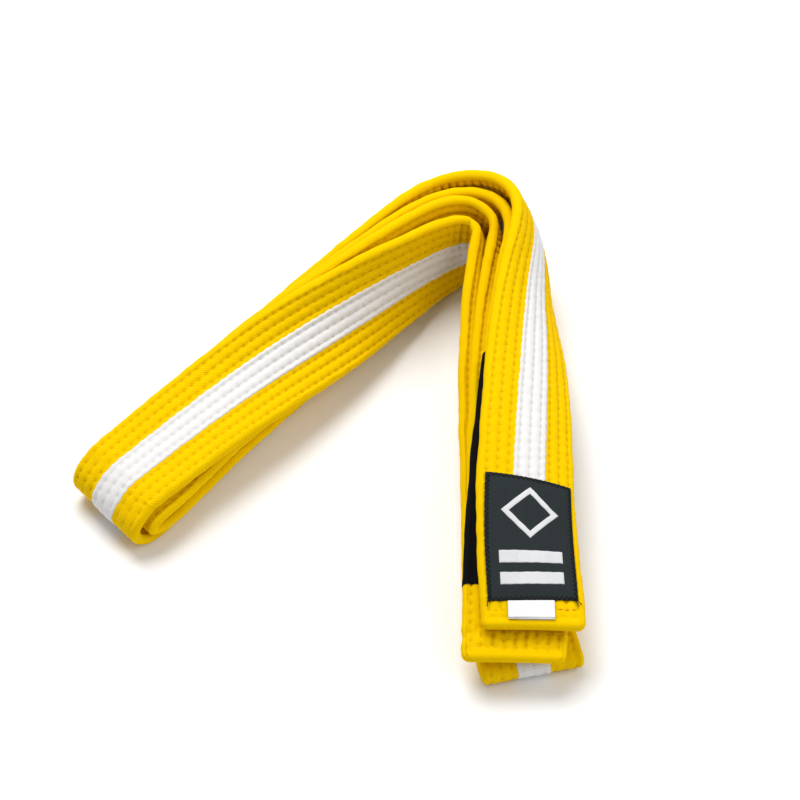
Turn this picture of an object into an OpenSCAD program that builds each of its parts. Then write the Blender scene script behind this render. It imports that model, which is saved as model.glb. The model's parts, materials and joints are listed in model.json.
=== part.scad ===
// A cotton martial arts belt, folded four layers thick, bent into a hairpin and stood on
// its edges, with the label end lying on top of the front fold.
// Millimetres. Origin at the centre of the footprint on the floor, +Z up. The two arms
// open towards -Y: the left arm ends at -X, the front fold and both belt ends at +X.

/* [Belt] */
// Width of the belt
belt_w = 40; // [38:0.5:41]
// Thickness of the belt, cover and core together
belt_t = 4.8; // [4.4:0.1:4.9]
// Thickness of the sewn cotton cover on each face
cover_t = 0.8; // [0.7:0.05:0.9]
// Air gap between the cover and the core sheets
core_gap = 0.15; // [0.1:0.05:0.25]

/* [Stripe] */
// Width of the ribbed ribbon along the middle of the front face
stripe_w = 12.8; // [10:0.2:15]
// Thickness of the ribbon, which lies in a shallow groove in the cover
stripe_t = 0.35; // [0.25:0.05:0.4]

/* [Rank bar] */
// Length of the black sleeve sewn round the belt
bar_len = 103; // [90:1:120]
// Thickness of the sleeve's cloth
bar_t = 0.4; // [0.3:0.05:0.5]
// Distance from the sleeve to the tip of the rank end
bar_from_tip = 30.5; // [29.5:0.5:44]

/* [Label] */
// Width of the woven label
label_w = 34; // [30:0.5:35]
// Length of the woven label
label_len = 52; // [48:1:56]
// Thickness of the woven label
label_t = 0.8; // [0.5:0.1:1]
// Distance from the label to the tip of the label end
label_from_tip = 11; // [11:0.5:12.5]
// Width of the zigzag border stitched over the label's rim
border_w = 1.6; // [1:0.1:2.5]
// Height of the border thread and of the woven motif over the label
motif_t = 0.35; // [0.2:0.05:0.5]

/* [Size tag] */
// Width of the folded satin tag
tag_w = 17.5; // [14:0.5:20]
// Length of the tag that shows below the label
tag_len = 7.5; // [6:0.5:8.5]
// Thickness of the folded tag
tag_t = 0.7; // [0.4:0.1:0.8]

/* [Motion] */
// Gap between the two parts of the belt at the bend
bend_gap = 0.8; // [0.6:0.1:1.2]
// Gap at the other joints
joint_gap = 0.5; // [0.4:0.1:0.8]

/* [Hidden] */

// Middle of the footprint in the coordinates that the route is written in
middle = [-29.3, -28, 0];

// The bundle's centre line, one row for each station from the left fold to the front
// fold: x, y, z, roll of the width about the line in degrees, curl across the width.
ROUTE = [
    [-107, -57, 12.3, 0, 4],
    [-70, -16, 16, 8, 10],
    [-36, 17, 19.2, 40, 16],
    [-7, 47, 23.1, 72, 14],
    [18, 74, 22, 85, 7],
    [37.5, 74.5, 24, 99, 9],
    [48.5, 61, 25.5, 106, 21],
    [47.5, 38, 25, 115, 33],
    [48, -8, 28, 145, 36],
    [46, -56, 26, 158, 32],
    [46, -98, 21, 169, 24],
    [47, -128, 15.5, 178, 16]];
last = len(ROUTE) - 1;

// How far each layer lies outside the centre line at each station, outermost layer first
STACK = [
    [9.8, 9.5, 9.3, 10, 12.5, 12.8, 11.5, 9.9, 11.8, 12.5, 11.5, 11],
    [3.2, 3.3, 3.3, 3.7, 5, 6, 5.2, 3.2, 3.9, 3.5, 3.2, 4],
    [-3, -2.8, -2.7, -2.7, -3.2, -3.8, -4, -4.2, -5.2, -4.5, -3.2, -3],
    [-9, -9.2, -9.2, -9.6, -11.2, -12.6, -12, -11, -12.3, -11.1, -9.2, -9]];

// How far each layer has slipped along its own width at each station
SHIFT = [
    [0.5, 3, 0.4, 0.2, 2.5, 5.3, 7.5, 7.5, 2.8, 1.2, 0, -3.5],
    [-1, 0.8, 1.3, 1.4, 0.8, 0.2, 0, -1, -1.6, 0.4, 2.2, 4.5],
    [3.8, 2, 1.4, 3.8, 4.5, 1, -2.5, -1.8, -1, -1, -1, 0.5],
    [0.8, -1.2, 1, 1, -1.5, 0, 0, -0.5, 0, -1.5, -3.5, -3]];

// The turns between the layers and the two loose ends
OUTER_FOLD = [[-110, -59, 2.6], [-114, -63, 6], [-116, -64.5, 11], [-114, -63, 16.5], [-109, -57, 20.5]];
INNER_FOLD = [[-97, -50, 16], [-104, -57, 15.6], [-108, -61, 14], [-109, -62, 12],
              [-108, -61, 10], [-104, -57, 8.5], [-98, -51, 8.5]];
FRONT_FOLD = [[44, -101, 2.9], [45, -112, 2.4], [47, -122, 2.4], [49, -131, 2.4], [50, -136, 2.4],
              [51, -138.5, 5.6], [50, -136, 8.8], [48, -129, 8.8], [46, -116, 9]];
LABEL_TIP = [[48.5, -168, 19], [51.5, -132, 23]];
RANK_TIP = [[42.5, -141.5, 15], [44, -187, 12.5]];
left_width = [-0.66, 0.75, 0];
front_width = [-0.975, -0.22, 0];
label_tip_width = [-1, 0.08, 0.05];
rank_tip_width = [-1, -0.03, 0];
label_tip_curl = 6;
rank_tip_curl = -3;

// Where each layer of the bundle passes station 5, in the bend, counted along the belt
// from the label tip (0) to the rank tip
bend_station = 5;
label_layer_bend = 11 - bend_station;
outer_layer_bend = 17 + bend_station;
front_layer_bend = 45 - bend_station;
rank_layer_bend = 51 + bend_station;
rank_tip = 62;
label_hinge = 2;
rank_hinge_from_tip = 28;
hem_len = 3;
touch = 0.05;
// Bends and folds where the rings of the sweep lie closer together
BENDS = [[4, 7], [21, 24], [31, 34], [38, 41], [55, 58]];

function unit(v) = v / norm(v);
function heading(i) = let(a = ROUTE[max(i - 1, 0)], b = ROUTE[min(i + 1, last)])
    unit([b[0] - a[0], b[1] - a[1], 0]);
function sideways(i) = [-heading(i)[1], heading(i)[0], 0];
function width_at(i) = cos(ROUTE[i][3]) * sideways(i) + [0, 0, sin(ROUTE[i][3])];
function outward_at(i) = sin(ROUTE[i][3]) * sideways(i) - [0, 0, cos(ROUTE[i][3])];
function layer_point(k, i) = [ROUTE[i][0], ROUTE[i][1], ROUTE[i][2]]
    + STACK[k][i] * outward_at(i) + SHIFT[k][i] * width_at(i);

// A control row: position, width direction and curl
function row(p, w, curl) = concat(p, w, [curl]);
function layer_row(k, i) = row(layer_point(k, i), width_at(i), (k % 2 == 0 ? 1 : -1) * ROUTE[i][4]);
function fold_rows(points, w) = [for (p = points) row(p, unit(w), 0)];

CONTROLS = [
    for (p = LABEL_TIP) row(p, unit(label_tip_width), label_tip_curl),
    for (i = [last - 1:-1:0]) layer_row(0, i),
    each fold_rows(OUTER_FOLD, left_width),
    for (i = [0:last - 2]) layer_row(3, i),
    each fold_rows(FRONT_FOLD, front_width),
    for (i = [last - 2:-1:1]) layer_row(2, i),
    each fold_rows(INNER_FOLD, left_width),
    for (i = [1:last - 1]) layer_row(1, i),
    for (p = RANK_TIP) row(p, unit(rank_tip_width), rank_tip_curl)];

// Uniform cubic B-spline through the control rows, and its slope
function spline(t) = let(i = min(floor(t), rank_tip - 1), f = t - i)
    ((1 - f) ^ 3 * CONTROLS[i] + (3 * f ^ 3 - 6 * f ^ 2 + 4) * CONTROLS[i + 1]
    + (-3 * f ^ 3 + 3 * f ^ 2 + 3 * f + 1) * CONTROLS[i + 2] + f ^ 3 * CONTROLS[i + 3]) / 6;
function slope(t) = let(i = min(floor(t), rank_tip - 1), f = t - i)
    (-(1 - f) ^ 2 * CONTROLS[i] + (3 * f ^ 2 - 4 * f) * CONTROLS[i + 1]
    + (-3 * f ^ 2 + 2 * f + 1) * CONTROLS[i + 2] + f ^ 2 * CONTROLS[i + 3]) / 2;
function speed(t) = norm(first3(slope(t)));
function first3(v) = [v[0], v[1], v[2]];

// The frame of one place along the belt: point, width, front normal and curl
function frame(t) = let(v = spline(t), along = unit(first3(slope(t))), w = [v[3], v[4], v[5]],
                        across = unit(w - (w * along) * along))
    [first3(v) - middle, across, cross(along, across), abs(v[6]) < 0.01 ? 0.01 : v[6]];

// A place on the belt: u across the width from the middle, h above the middle of the thickness
function place(f, u, h) = let(radius = belt_w / f[3] * 180 / PI, turn = u / radius * 180 / PI)
    f[0] + (radius + h) * sin(turn) * f[1] + ((radius + h) * cos(turn) - radius) * f[2];

// Tables of distance along the belt and place, counted from either tip
function distances(a, b, n = 100) = let(d = (b - a) / n)
    [for (i = 0, s = 0; i <= n; s = s + speed(a + (i + 0.5) * d) * abs(d), i = i + 1) [s, a + i * d]];
FROM_LABEL_TIP = distances(0, 4);
FROM_RANK_TIP = distances(rank_tip, rank_tip - 5);
function from_label_tip(s) = lookup(s, FROM_LABEL_TIP);
function from_rank_tip(s) = lookup(s, FROM_RANK_TIP);

// The stretch of belt from a to b, shortened by half of the gap at each end
function span(a, b, gap_a, gap_b) = [a + gap_a / 2 / speed(a), b - gap_b / 2 / speed(b)];
rank_hinge = from_rank_tip(rank_hinge_from_tip);
OUTER_SPAN = span(label_layer_bend, outer_layer_bend, bend_gap, bend_gap);
FRONT_SPAN = span(outer_layer_bend, front_layer_bend, bend_gap, bend_gap);
INNER_SPAN = span(front_layer_bend, rank_layer_bend, bend_gap, bend_gap);
LABEL_RUN_SPAN = span(label_hinge, label_layer_bend, joint_gap, bend_gap);
RANK_RUN_SPAN = span(rank_layer_bend, rank_hinge, bend_gap, joint_gap);
LABEL_END_SPAN = span(from_label_tip(hem_len), label_hinge, touch, joint_gap);
RANK_END_SPAN = span(rank_hinge, from_rank_tip(hem_len), joint_gap, touch);

// Places of the rings along a stretch
function turning(i) = len([for (b = BENDS) if (i >= b[0] && i < b[1]) b]) > 0;
function rings(ends) = [ends[0],
    for (i = [floor(ends[0]):ceil(ends[1]) - 1])
        let(n = turning(i) ? 5 : 3)
            for (j = [0:n - 1])
                let(t = i + j / n)
                    if (t > ends[0] + 0.1 && t < ends[1] - 0.1) t,
    ends[1]];

// Cross-sections, as [across, height] points anticlockwise round the direction of travel
half_t = belt_t / 2;
edge_at = belt_w / 2 - half_t;
groove = stripe_w / 2;
back_step = 6;
function round_edge(side, r) = [for (a = [-90:45:90]) [side * (edge_at + r * cos(a)), side * r * sin(a)]];
function band(r) = [each round_edge(1, r), [groove, r], [-groove, r],
                    each round_edge(-1, r), [-back_step, -r], [back_step, -r]];
function grooved(r) = [each round_edge(1, r), [groove, r], [groove, r - stripe_t],
                       [-groove, r - stripe_t], [-groove, r],
                       each round_edge(-1, r), [-back_step, -r], [back_step, -r]];
function lining(r) = [each round_edge(1, r), [groove, r], [groove / 3, r], [-groove / 3, r], [-groove, r],
                      each round_edge(-1, r), [-back_step, -r], [back_step, -r]];
function core_band(r) = [[edge_at, -r], [edge_at + 0.8 * r, 0], [edge_at, r],
                         [groove, r], [groove / 3, r], [-groove / 3, r], [-groove, r],
                         [-edge_at, r], [-edge_at - 0.8 * r, 0], [-edge_at, -r],
                         [-back_step, -r], [back_step, -r]];

// Triangles of a grid of m rings of n points whose first point is number base
function skin(m, n, base, closed, outward) = [for (i = [0:m - 2], j = [0:closed ? n - 1 : n - 2])
    let(a = base + i * n + j, b = base + i * n + (j + 1) % n, c = a + n, d = b + n)
        each outward ? [[a, c, d], [a, d, b]] : [[a, d, c], [a, b, d]]];
function backwards(v) = [for (i = [len(v) - 1:-1:0]) v[i]];
function swept(ts, section) = [for (t = ts) let(f = frame(t)) for (p = section) place(f, p[0], p[1])];

// A closed section swept along the belt
module solid_sweep(ends, section) {
    ts = rings(ends);
    m = len(ts);
    n = len(section);
    first = [for (j = [0:n - 1]) j];
    final = [for (j = [n - 1:-1:0]) (m - 1) * n + j];
    polyhedron(swept(ts, section), concat(skin(m, n, 0, true, true), [first, final]));
}

// A tube with its own outside and lining, which have the same number of points
module tube_sweep(ends, outside, lining) {
    ts = rings(ends);
    m = len(ts);
    n = len(outside);
    inner = m * n;
    rim = [for (j = [0:n - 1]) [j, (j + 1) % n, inner + (j + 1) % n, inner + j]];
    far_rim = [for (r = rim) backwards([for (v = r) v + (m - 1) * n])];
    polyhedron(concat(swept(ts, outside), swept(ts, lining)),
               concat(skin(m, n, 0, true, true), skin(m, n, inner, true, false), rim, far_rim));
}

// A flat strip on the front face, through the points across, between two heights
module strip(ends, across, low, high) {
    ts = rings(ends);
    m = len(ts);
    n = len(across);
    under = m * n;
    sides = [for (i = [0:m - 2]) let(a = i * n, b = a + n, c = a + n - 1, d = c + n)
        each [[under + a, under + b, b, a], [c, d, under + d, under + c]]];
    first = concat([for (j = [0:n - 1]) j], [for (j = [n - 1:-1:0]) under + j]);
    final = backwards([for (v = first) v + (m - 1) * n]);
    polyhedron(concat(swept(ts, [for (u = across) [u, high]]), swept(ts, [for (u = across) [u, low]])),
               concat(skin(m, n, 0, false, true), skin(m, n, under, false, false), sides, [first, final]));
}

// A flat ring on the front face, between an outer and an inner outline of [across, from tip] points
module ring_patch(outer, inner, low, high) {
    n = len(outer);
    function lifted(points, h) = [for (p = points) place(frame(from_label_tip(p[1])), p[0], h)];
    faces = [for (j = [0:n - 1]) let(k = (j + 1) % n)
        each [[j, k, n + k], [j, n + k, n + j],
              [2 * n + j, 3 * n + k, 2 * n + k], [2 * n + j, 3 * n + j, 3 * n + k],
              [j, 2 * n + j, 2 * n + k], [j, 2 * n + k, k],
              [n + j, 3 * n + k, 3 * n + j], [n + j, n + k, 3 * n + k]]];
    points = concat(lifted(outer, high), lifted(inner, high), lifted(outer, low), lifted(inner, low));
    polyhedron(points, faces);
}

module cover(ends) {
    color("gold") tube_sweep(ends, grooved(half_t), lining(half_t - cover_t));
}

module core(ends) {
    color("ivory") solid_sweep(ends, core_band(half_t - cover_t - core_gap));
}

module stripe(ends) {
    edge = groove - touch;
    color("white") strip(ends, [edge, -edge], half_t - stripe_t + touch, half_t - touch);
}

module end_hem(ends) {
    color("gold") solid_sweep(ends, band(half_t));
}

module cover_outer_fold() {
    cover(OUTER_SPAN);
}

module core_outer_fold() {
    core(OUTER_SPAN);
}

module stripe_outer_fold() {
    stripe(OUTER_SPAN);
}

module cover_inner_fold() {
    cover(INNER_SPAN);
}

module core_inner_fold() {
    core(INNER_SPAN);
}

module stripe_inner_fold() {
    stripe(INNER_SPAN);
}

module cover_front_fold() {
    cover(FRONT_SPAN);
}

module core_front_fold() {
    core(FRONT_SPAN);
}

module stripe_front_fold() {
    stripe(FRONT_SPAN);
}

module cover_label_run() {
    cover(LABEL_RUN_SPAN);
}

module core_label_run() {
    core(LABEL_RUN_SPAN);
}

module stripe_label_run() {
    stripe(LABEL_RUN_SPAN);
}

module cover_rank_run() {
    cover(RANK_RUN_SPAN);
}

module core_rank_run() {
    core(RANK_RUN_SPAN);
}

module stripe_rank_run() {
    stripe(RANK_RUN_SPAN);
}

// The black sleeve that shows where rank tapes go
module rank_bar() {
    ends = [from_rank_tip(bar_from_tip + bar_len), from_rank_tip(bar_from_tip)];
    color("#1c1c1e") tube_sweep(ends, band(half_t + touch + bar_t), band(half_t + touch));
}

module cover_label_end() {
    cover(LABEL_END_SPAN);
}

module core_label_end() {
    core(LABEL_END_SPAN);
}

module stripe_label_end() {
    stripe(LABEL_END_SPAN);
}

// The turned-in cover that closes the label end
module label_end_hem() {
    end_hem([0, from_label_tip(hem_len)]);
}

label_base = half_t + touch;
label_top = label_base + label_t;
label_far = label_from_tip + label_len;

module woven_label() {
    ends = [from_label_tip(label_from_tip), from_label_tip(label_far)];
    color("#34393b") strip(ends, [label_w / 2, groove, -groove, -label_w / 2], label_base, label_top);
}

// Corner and edge points of a rectangle on the label, inset from its rim
function rim_outline(inset, n = 6) =
    let(u = label_w / 2 - inset, a = label_from_tip + inset, b = label_far - inset)
    [for (x = [-u, -groove, groove]) [x, a],
     for (i = [0:n - 1]) [u, a + (b - a) * i / n],
     for (x = [u, groove, -groove]) [x, b],
     for (i = [0:n - 1]) [-u, b - (b - a) * i / n]];

module label_border_stitch() {
    color("#0e0e10") ring_patch(rim_outline(0.1), rim_outline(border_w), label_top + touch,
                                label_top + touch + motif_t);
}

// A generic woven mark: a hollow lozenge above two plain bars
lozenge_centre = label_from_tip + 0.7 * label_len;
lozenge_half = 11;
lozenge_line = 3;
bar_half = 12;
bar_height = 5;
bars_at = [label_from_tip + 0.34 * label_len, label_from_tip + 0.17 * label_len];

function lozenge(r) = [for (q = [0:3]) for (k = [0, 0.5])
    let(a = 90 * q, b = a + 90)
        [r * (cos(a) * (1 - k) + cos(b) * k), lozenge_centre + r * (sin(a) * (1 - k) + sin(b) * k)]];

module label_motif() {
    low = label_top + touch;
    color("white") {
        ring_patch(lozenge(lozenge_half), lozenge(lozenge_half - lozenge_line), low, low + motif_t);
        for (s = bars_at)
            strip([from_label_tip(s - bar_height / 2), from_label_tip(s + bar_height / 2)],
                  [bar_half, groove, -groove, -bar_half], low, low + motif_t);
    }
}

// The folded size tag, free of the belt below its seam
tag_lift = 0.3;
tag_off_label = 0.4;
tag_centre = 1;

module size_tag() {
    far = label_from_tip - tag_off_label;
    low = half_t + touch + tag_lift;
    color("snow") strip([from_label_tip(far - tag_len), from_label_tip(far)],
                        [tag_centre + tag_w / 2, tag_centre, tag_centre - tag_w / 2], low, low + tag_t);
}

module cover_rank_end() {
    cover(RANK_END_SPAN);
}

module core_rank_end() {
    core(RANK_END_SPAN);
}

module stripe_rank_end() {
    stripe(RANK_END_SPAN);
}

// The turned-in cover that closes the rank end
module rank_end_hem() {
    end_hem([from_rank_tip(hem_len), rank_tip]);
}

cover_outer_fold();
core_outer_fold();
stripe_outer_fold();
cover_inner_fold();
core_inner_fold();
stripe_inner_fold();
cover_front_fold();
core_front_fold();
stripe_front_fold();
cover_label_run();
core_label_run();
stripe_label_run();
cover_rank_run();
core_rank_run();
stripe_rank_run();
rank_bar();
cover_label_end();
core_label_end();
stripe_label_end();
label_end_hem();
woven_label();
label_motif();
label_border_stitch();
size_tag();
cover_rank_end();
core_rank_end();
stripe_rank_end();
rank_end_hem();
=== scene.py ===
"""A quilted cotton martial arts belt, folded and lying on its edges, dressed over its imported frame."""
import bpy
import json
import math
import numpy as np
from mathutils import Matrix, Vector


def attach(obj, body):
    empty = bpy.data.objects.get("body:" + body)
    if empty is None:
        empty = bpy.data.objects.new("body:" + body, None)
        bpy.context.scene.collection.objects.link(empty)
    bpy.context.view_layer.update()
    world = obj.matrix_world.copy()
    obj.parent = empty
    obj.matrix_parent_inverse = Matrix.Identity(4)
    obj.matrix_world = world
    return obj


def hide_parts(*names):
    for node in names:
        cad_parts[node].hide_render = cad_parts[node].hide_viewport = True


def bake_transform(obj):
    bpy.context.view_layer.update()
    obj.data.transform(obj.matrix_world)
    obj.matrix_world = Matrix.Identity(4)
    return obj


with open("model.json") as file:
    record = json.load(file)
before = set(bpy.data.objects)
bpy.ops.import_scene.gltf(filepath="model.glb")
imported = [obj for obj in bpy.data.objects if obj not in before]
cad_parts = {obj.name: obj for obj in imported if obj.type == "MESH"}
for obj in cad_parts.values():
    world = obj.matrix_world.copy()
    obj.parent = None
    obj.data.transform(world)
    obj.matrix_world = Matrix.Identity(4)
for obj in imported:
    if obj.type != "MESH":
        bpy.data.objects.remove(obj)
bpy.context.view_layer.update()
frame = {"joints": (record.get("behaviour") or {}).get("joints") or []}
MM = 0.001

# ---------------------------------------------------------------- the belt's route (mm)
MIDDLE = np.array([-29.3, -28, 0])
BELT_W = 40.0
ROUTE = np.array([  # x, y, z, roll, curl at each station, as in the CAD source
    [-107, -57, 12.3, 0, 4], [-70, -16, 16, 8, 10], [-36, 17, 19.2, 40, 16],
    [-7, 47, 23.1, 72, 14], [18, 74, 22, 85, 7], [37.5, 74.5, 24, 99, 9],
    [48.5, 61, 25.5, 106, 21], [47.5, 38, 25, 115, 33], [48, -8, 28, 145, 36],
    [46, -56, 26, 158, 32], [46, -98, 21, 169, 24], [47, -128, 15.5, 178, 16]])
STACK = np.array([
    [9.8, 9.5, 9.3, 10, 12.5, 12.8, 11.5, 9.9, 11.8, 12.5, 11.5, 11],
    [3.2, 3.3, 3.3, 3.7, 5, 6, 5.2, 3.2, 3.9, 3.5, 3.2, 4],
    [-3, -2.8, -2.7, -2.7, -3.2, -3.8, -4, -4.2, -5.2, -4.5, -3.2, -3],
    [-9, -9.2, -9.2, -9.6, -11.2, -12.6, -12, -11, -12.3, -11.1, -9.2, -9]])
SHIFT = np.array([
    [0.5, 3, 0.4, 0.2, 2.5, 5.3, 7.5, 7.5, 2.8, 1.2, 0, -3.5],
    [-1, 0.8, 1.3, 1.4, 0.8, 0.2, 0, -1, -1.6, 0.4, 2.2, 4.5],
    [3.8, 2, 1.4, 3.8, 4.5, 1, -2.5, -1.8, -1, -1, -1, 0.5],
    [0.8, -1.2, 1, 1, -1.5, 0, 0, -0.5, 0, -1.5, -3.5, -3]])
OUTER_FOLD = [(-110, -59, 2.6), (-114, -63, 6), (-116, -64.5, 11), (-114, -63, 16.5),
              (-109, -57, 20.5)]
INNER_FOLD = [(-97, -50, 16), (-104, -57, 15.6), (-108, -61, 14), (-109, -62, 12),
              (-108, -61, 10), (-104, -57, 8.5), (-98, -51, 8.5)]
FRONT_FOLD = [(44, -101, 2.9), (45, -112, 2.4), (47, -122, 2.4), (49, -131, 2.4), (50, -136, 2.4),
              (51, -138.5, 5.6), (50, -136, 8.8), (48, -129, 8.8), (46, -116, 9)]
LABEL_TIP = [(48.5, -168, 19), (51.5, -132, 23)]
RANK_TIP = [(42.5, -141.5, 15), (44, -187, 12.5)]
LEFT_WIDTH, FRONT_WIDTH = (-0.66, 0.75, 0), (-0.975, -0.22, 0)
LABEL_TIP_WIDTH, RANK_TIP_WIDTH = (-1, 0.08, 0.05), (-1, -0.03, 0)
LABEL_TIP_CURL, RANK_TIP_CURL = 6, -3


def unit(v):
    v = np.asarray(v, float)
    return v / np.linalg.norm(v, axis=-1, keepdims=True)


def control_rows():
    """Position, width direction and curl of every control of the belt's B-spline."""
    along = np.gradient(ROUTE[:, :3], axis=0)
    along[:, 2] = 0
    along = unit(along)
    side = np.stack([-along[:, 1], along[:, 0], 0 * along[:, 0]], 1)
    roll = np.radians(ROUTE[:, 3:4])
    up = np.array([[0, 0, 1.0]])
    width = np.cos(roll) * side + np.sin(roll) * up
    outward = np.sin(roll) * side - np.cos(roll) * up
    last = len(ROUTE) - 1

    def layer(k, stations):
        curl = 1 if k % 2 == 0 else -1
        return [[*(ROUTE[i, :3] + STACK[k, i] * outward[i] + SHIFT[k, i] * width[i]), *width[i],
                 curl * ROUTE[i, 4]] for i in stations]

    def fixed(points, w, curl=0):
        return [[*p, *unit(w), curl] for p in points]

    return np.array(
        fixed(LABEL_TIP, LABEL_TIP_WIDTH, LABEL_TIP_CURL) + layer(0, range(last - 1, -1, -1))
        + fixed(OUTER_FOLD, LEFT_WIDTH) + layer(3, range(last - 1)) + fixed(FRONT_FOLD, FRONT_WIDTH)
        + layer(2, range(last - 2, 0, -1)) + fixed(INNER_FOLD, LEFT_WIDTH) + layer(1, range(1, last))
        + fixed(RANK_TIP, RANK_TIP_WIDTH, RANK_TIP_CURL))


CONTROLS = control_rows()
T_END = len(CONTROLS) - 3


def spline(t):
    """The control rows' B-spline and its slope at each t."""
    t = np.clip(t, 0, T_END - 1e-9)
    i = np.floor(t).astype(int)
    f = (t - i)[:, None]
    c = [CONTROLS[i + k] for k in range(4)]
    value = ((1 - f) ** 3 * c[0] + (3 * f ** 3 - 6 * f ** 2 + 4) * c[1]
             + (-3 * f ** 3 + 3 * f ** 2 + 3 * f + 1) * c[2] + f ** 3 * c[3]) / 6
    slope = (-(1 - f) ** 2 * c[0] + (3 * f ** 2 - 4 * f) * c[1]
             + (-3 * f ** 2 + 2 * f + 1) * c[2] + f ** 2 * c[3]) / 2
    return value, slope


T_TABLE = np.linspace(0, T_END, 20001)
STEPS = np.linalg.norm(np.diff(spline(T_TABLE)[0][:, :3], axis=0), axis=1)
S_TABLE = np.concatenate([[0], np.cumsum(STEPS)])
LENGTH = S_TABLE[-1]


def at_t(t):
    """Distance from the label tip of the place t."""
    return float(np.interp(t, T_TABLE, S_TABLE))


def belt_frame(s):
    """Position, width, front normal and curl at the distances s along the belt."""
    value, slope = spline(np.interp(s, S_TABLE, T_TABLE))
    along = unit(slope[:, :3])
    w = value[:, 3:6]
    w = unit(w - (w * along).sum(1, keepdims=True) * along)
    k = np.where(np.abs(value[:, 6]) < 0.01, 0.01, value[:, 6])
    return value[:, :3] - MIDDLE, w, np.cross(along, w), np.radians(k)


def place(s, u, h):
    """Points on the belt in mm: s along it (m), u across and h above its middle (m, n)."""
    p, w, normal, curl = belt_frame(s)
    radius = (BELT_W / curl)[:, None]
    turn = u / radius
    points = (p[:, None, :] + ((radius + h) * np.sin(turn))[..., None] * w[:, None, :]
              + ((radius + h) * np.cos(turn) - radius)[..., None] * normal[:, None, :])
    points[..., 2] = np.maximum(points[..., 2], FLOOR_CLEARANCE)  # cloth pressed flat by the floor
    return points


# ---------------------------------------------------------------- the cloth's relief (mm)
PITCH = 4.17           # between the rows of quilting
ROWS = np.arange(-4, 5) * PITCH
STITCH = 3.8           # length of one quilting stitch
VALLEY, PUFF = 1.95, 0.55   # height of the rows over the belt's middle, and of the cloth over the rows
EDGE = 17.6            # where the rounded edge starts
EDGE_RADIUS, EDGE_ARC = 2.4, 7.6
STRIPE_HALF = 6.4
FLOOR_CLEARANCE = 0.02


def smooth(x, a, b):
    x = np.clip((x - a) / (b - a), 0, 1)
    return x * x * (3 - 2 * x)


def waves(s, u, seed, long, wide, count=6):
    """A smooth seeded wander, roughly -1 to 1, of the lengths long and wide."""
    rng = np.random.default_rng(seed)
    total = 0
    for _ in range(count):
        a, b, phase = rng.uniform(0.5, 1.6), rng.uniform(-1.6, 1.6), rng.uniform(0, 2 * math.pi)
        total = total + np.sin(2 * math.pi * (a * s / long + b * u / wide) + phase)
    return total / math.sqrt(count * 2)


def quilted(s):
    """How strongly the quilting shows: it stops short of both tips."""
    return smooth(s, 5, 9) * smooth(LENGTH - s, 2.5, 5)


def row_slip(row, s):
    """How far a row's needle holes have slipped along the belt."""
    return 0.9 * np.sin(row * 1.7) + 0.35 * np.sin(s / 61 + row)


def hole_phase(row, s):
    """Distance from s to the nearest needle hole of a row."""
    shifted = s + row_slip(row, s)
    return (shifted / STITCH - np.round(shifted / STITCH)) * STITCH


def strain(s, u, side):
    """How much longer the cloth's face is than the belt's middle line there; under 0 it is squeezed."""
    step = 0.5
    line = s[:, 0]
    u = np.broadcast_to(u, np.broadcast(s, u).shape)
    h = np.full(u.shape, 2.4 * side)
    gap = place(line + step, u, h) - place(line - step, u, h)
    return np.clip(np.linalg.norm(gap, axis=-1) / (2 * step) - 1, -0.8, 1)


# Crosswise hem rows: distance from the label tip, pitch of the holes, range across, side
HEMS = [(4.2, 3.9, (-17, 17), 1), (4.2, 3.9, (-17, 17), -1),
        (LENGTH - 5.2, 3.6, (-17, 17), 1), (LENGTH - 5.2, 3.6, (-17, 17), -1),
        (LENGTH - 8.6, 2.6, (-3, 6), -1)]


def row_place(s, u):
    """Distance across to the nearest row and along to its nearest needle hole."""
    drift = 0.12 * waves(s, u * 0, 11, 90, 50)
    row = np.clip(np.round((u + drift) / PITCH), -4, 4)
    return np.abs(u + drift - row * PITCH), hole_phase(row, s)


def pleats(s, u, side):
    """Depth, 0 to 1, of the puckers where the bend squeezes the cloth between its stitches."""
    tight = -strain(s, u, side)
    at_bend = smooth(belt_frame(s[:, 0])[0][:, 1:2], 60, 80)
    squeezed = smooth(tight, 0.02, 0.12) * (1 - smooth(tight, 0.45, 0.7)) * at_bend
    phase = s / STITCH + 0.16 * waves(s, u, 41, 30, 26) + 0.012 * u
    valley = (0.5 + 0.5 * np.cos(2 * math.pi * phase)) ** 4
    uneven = np.clip(0.8 + 0.5 * waves(s, u, 42, 22, 30), 0.15, 1.3)
    return squeezed * smooth(np.abs(u), 0, 9) * (1 - smooth(np.abs(u), 15, 17.6)) * valley * uneven


def painted_shade_at(s, u, side):
    """How much painted shade a place gets in its colour: 1 in a needle hole, less along a row and in a
    pucker.
    """
    x, ds = row_place(s, u)
    hole = np.exp(-(ds / 0.5) ** 2 - (x / 0.42) ** 2)
    return np.clip(0.5 * hole * quilted(s) + 0.08 * np.exp(-(x / 0.5) ** 2) * quilted(s)
                   + 0.55 * pleats(s, u, side), 0, 1)


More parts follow.
